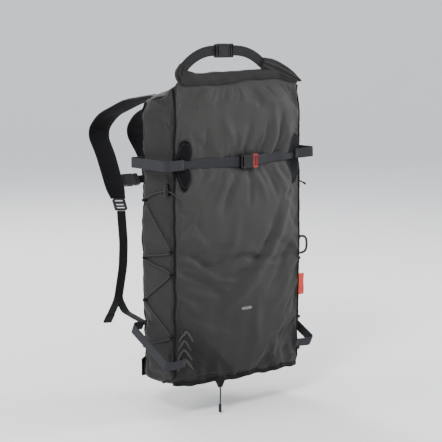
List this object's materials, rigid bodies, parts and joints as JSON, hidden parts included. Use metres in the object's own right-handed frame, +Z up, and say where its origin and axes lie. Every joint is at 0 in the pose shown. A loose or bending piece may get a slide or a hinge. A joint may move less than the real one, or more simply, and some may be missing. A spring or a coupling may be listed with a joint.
{
  "type": "ski backpack",
  "caption": "Slim roll-top ski-touring backpack with side ski loops, front ski strap, laced sides, padded back and shoulder straps.",
  "frame": {"origin": "middle of the back pad's face, where the bag rests on the wearer's back", "axes": "+Z up, +Y towards the wearer, -Y the front of the bag, +X the right side seen from the front"},
  "size_m": [0.3765, 0.4476, 0.7227],
  "materials": {
    "bag_fabric": "matt woven nylon",
    "black_fabric": "matt coated nylon",
    "pad_fabric": "padded spacer mesh",
    "mesh_foam": "air mesh over foam",
    "grey_webbing": "flat woven webbing",
    "black_webbing": "flat woven webbing",
    "red_webbing": "satin ribbon",
    "cord": "braided cord",
    "black_plastic": "moulded acetal",
    "red_plastic": "moulded acetal",
    "sheet_plastic": "sheet",
    "stay_aluminium": "satin",
    "spring_steel": "wire",
    "reflective": "reflective film"
  },
  "bodies": {
    "pack": {"back_pad": "mesh_foam", "back_panel": "bag_fabric", "bottom_binding": "black_fabric", "bottom_panel": "bag_fabric", "collar": "bag_fabric", "cord_end": "black_plastic", "cord_lock_barrels": "black_plastic", "cord_lock_spring_left": "spring_steel", "cord_lock_spring_right": "spring_steel", "cord_tab": "black_fabric", "edge_bindings": "black_fabric", "frame_sheet": "sheet_plastic", "frame_stays": "stay_aluminium", "front_panel": "bag_fabric", "gear_loop": "cord", "hanging_cord": "cord", "haul_loop": "black_webbing", "lace_loops": "black_fabric", "lacing_cords": "cord", "lower_anchors": "black_fabric", "lower_ski_loop_left": "grey_webbing", "lower_ski_loop_right": "grey_webbing", "reflective_bar": "reflective", "seam_tag": "red_webbing", "side_panel_left": "bag_fabric", "side_panel_right": "bag_fabric", "ski_buckle_female": "black_plastic", "ski_loop_left": "grey_webbing", "ski_loop_right": "grey_webbing", "ski_strap_left": "grey_webbing", "ski_strap_right": "grey_webbing", "strap_patches": "black_fabric", "yoke_panel": "black_fabric"},
    "roll": {"roll_top": "bag_fabric", "roll_stiffener": "sheet_plastic", "roll_end_left": "bag_fabric", "roll_end_right": "bag_fabric", "roll_webbing_left": "black_webbing", "roll_webbing_right": "black_webbing", "roll_buckle_female": "black_plastic"},
    "roll_buckle": {"roll_buckle_male": "black_plastic"},
    "ski_buckle": {"ski_buckle_male": "red_plastic"},
    "harness": {"shoulder_pad_left": "pad_fabric", "shoulder_pad_right": "pad_fabric", "rail_webbings": "black_webbing", "ladder_lock_left": "black_plastic", "ladder_lock_right": "black_plastic", "adjuster_webbing_left": "black_webbing", "adjuster_webbing_right": "black_webbing", "adjuster_tail_left": "black_webbing", "adjuster_tail_right": "black_webbing"},
    "sternum": {"sternum_slider_left": "black_plastic", "sternum_slider_right": "black_plastic", "sternum_webbing_left": "black_webbing", "sternum_webbing_right": "black_webbing", "sternum_buckle_female": "black_plastic"},
    "sternum_buckle": {"sternum_buckle_male": "black_plastic"},
    "lock_button_left": {"cord_lock_plunger_left": "black_plastic"},
    "lock_button_right": {"cord_lock_plunger_right": "black_plastic"}
  },
  "joints": [
    {"name": "roll_lift", "type": "slide", "parent": "pack", "child": "roll", "axis": [0, 0, 1], "range_m": [0, 0.11], "deforming": ["collar"]},
    {"name": "roll_buckle_release", "type": "slide", "parent": "roll", "child": "roll_buckle", "axis": [1, 0, 0], "range_m": [0, 0.021], "deforming": ["roll_webbing_right"]},
    {"name": "ski_buckle_release", "type": "slide", "parent": "pack", "child": "ski_buckle", "axis": [1, 0, 0], "range_m": [0, 0.021], "deforming": ["ski_strap_right"]},
    {"name": "harness_swing", "type": "hinge", "parent": "pack", "child": "harness", "pos_m": [0, 0, 0.237], "axis": [1, 0, 0], "range_deg": [-14, 6], "deforming": ["adjuster_webbing_left", "adjuster_webbing_right"]},
    {"name": "sternum_height", "type": "slide", "parent": "harness", "child": "sternum", "axis": [0, 0.523, 0.8523], "range_m": [-0.018, 0.018]},
    {"name": "sternum_buckle_release", "type": "slide", "parent": "sternum", "child": "sternum_buckle", "axis": [1, 0, 0], "range_m": [0, 0.02], "deforming": ["sternum_webbing_right"]},
    {"name": "lock_press_left", "type": "slide", "parent": "pack", "child": "lock_button_left", "axis": [0, 0, -1], "range_m": [0, 0.003], "stiffness_N_per_m": 300, "springref_m": -0.003, "deforming": ["cord_lock_spring_left"]},
    {"name": "lock_press_right", "type": "slide", "parent": "pack", "child": "lock_button_right", "axis": [0, 0, -1], "range_m": [0, 0.003], "stiffness_N_per_m": 300, "springref_m": -0.003, "deforming": ["cord_lock_spring_right"]}
  ]
}
